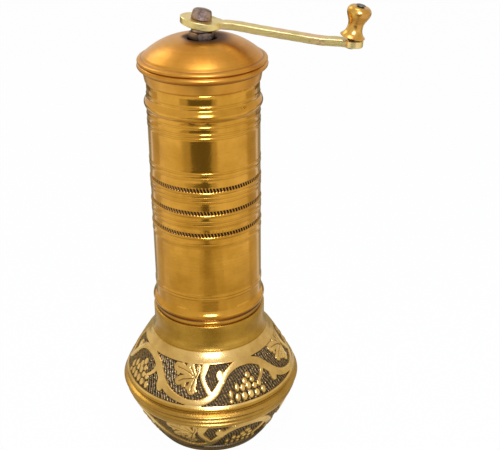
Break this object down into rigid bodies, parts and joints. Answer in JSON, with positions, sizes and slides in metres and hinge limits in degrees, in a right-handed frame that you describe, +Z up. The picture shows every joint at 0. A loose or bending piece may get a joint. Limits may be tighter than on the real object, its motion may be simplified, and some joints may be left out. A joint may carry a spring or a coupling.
{
  "type": "manual coffee grinder",
  "caption": "Hand coffee mill in turned brass: rounded carved cup, lift-off barrel with steel burrs, domed lid and side crank with knob.",
  "frame": {"origin": "centre of the cup's flat foot, where the mill stands", "axes": "+Z up along the grinding shaft; +X from the shaft along the crank arm to the knob, as it stands at rest"},
  "size_m": [0.1148, 0.0866, 0.2166],
  "materials": {
    "antique_brass": "cast and chased, dark patina in the recesses",
    "barrel_brass": "turned and polished",
    "lid_brass": "spun, satin",
    "crank_brass": "pale rolled bar, lightly polished",
    "knob_brass": "turned and polished",
    "turned_brass": "as turned",
    "dark_steel": "browned, matt",
    "bright_steel": "turned",
    "burr_iron": "hardened, dull",
    "bronze": "bored and oiled"
  },
  "bodies": {
    "cup": {"foot_disc": "antique_brass", "base_bowl": "antique_brass", "base_shoulder": "antique_brass"},
    "barrel": {"barrel_tube": "barrel_brass", "spigot_ring": "turned_brass", "outer_burr": "burr_iron", "burr_screw_1": "bright_steel", "burr_screw_2": "bright_steel", "burr_screw_3": "bright_steel", "bearing_stirrup": "turned_brass", "stirrup_screw_1": "bright_steel", "stirrup_screw_2": "bright_steel", "spider": "turned_brass", "spider_bush": "bronze"},
    "adjuster": {"adjusting_nut": "turned_brass"},
    "stud": {"thrust_stud": "bright_steel"},
    "drive": {"shaft": "dark_steel", "inner_burr": "burr_iron", "burr_washer": "bright_steel", "burr_nut": "bright_steel", "stack_nut": "dark_steel", "spacer_ring": "dark_steel"},
    "lid": {"lid_collar": "lid_brass", "lid_dome": "lid_brass"},
    "crank": {"crank_arm": "crank_brass", "knob_washer": "turned_brass", "knob_pin": "bright_steel"},
    "cap": {"cap_screw": "dark_steel"},
    "handle": {"knob": "knob_brass"}
  },
  "joints": [
    {"name": "barrel_lift", "type": "slide", "parent": "cup", "child": "barrel", "axis": [0, 0, 1], "range_m": [0, 0.04]},
    {"name": "stud_travel", "type": "slide", "parent": "barrel", "child": "stud", "axis": [0, 0, 1], "range_m": [-0.0011, 0.0002]},
    {"name": "adjuster_turn", "type": "hinge", "parent": "barrel", "child": "adjuster", "pos_m": [0, 0, 0.053], "axis": [0, 0, 1], "range_deg": [-400, 76]},
    {"name": "crank_turn", "type": "hinge", "parent": "stud", "child": "drive", "pos_m": [0, 0, 0.07], "axis": [0, 0, 1], "continuous": true},
    {"name": "lid_lift", "type": "slide", "parent": "barrel", "child": "lid", "axis": [0, 0, 1], "range_m": [0, 0.035]},
    {"name": "crank_lift", "type": "slide", "parent": "drive", "child": "crank", "axis": [0, 0, 1], "range_m": [0, 0.07]},
    {"name": "cap_lift", "type": "slide", "parent": "drive", "child": "cap", "axis": [0, 0, 1], "range_m": [0, 0.105]},
    {"name": "knob_turn", "type": "hinge", "parent": "crank", "child": "handle", "pos_m": [0.06386, 0, 0.20162], "axis": [0.225, 0, 0.9744], "continuous": true}
  ],
  "couplings": [
    {"joint": "adjuster_turn", "follows": "stud_travel", "rad_per_m": 6283.2},
    {"joint": "crank_lift", "follows": "lid_lift", "ratio": 2},
    {"joint": "cap_lift", "follows": "lid_lift", "ratio": 3}
  ]
}
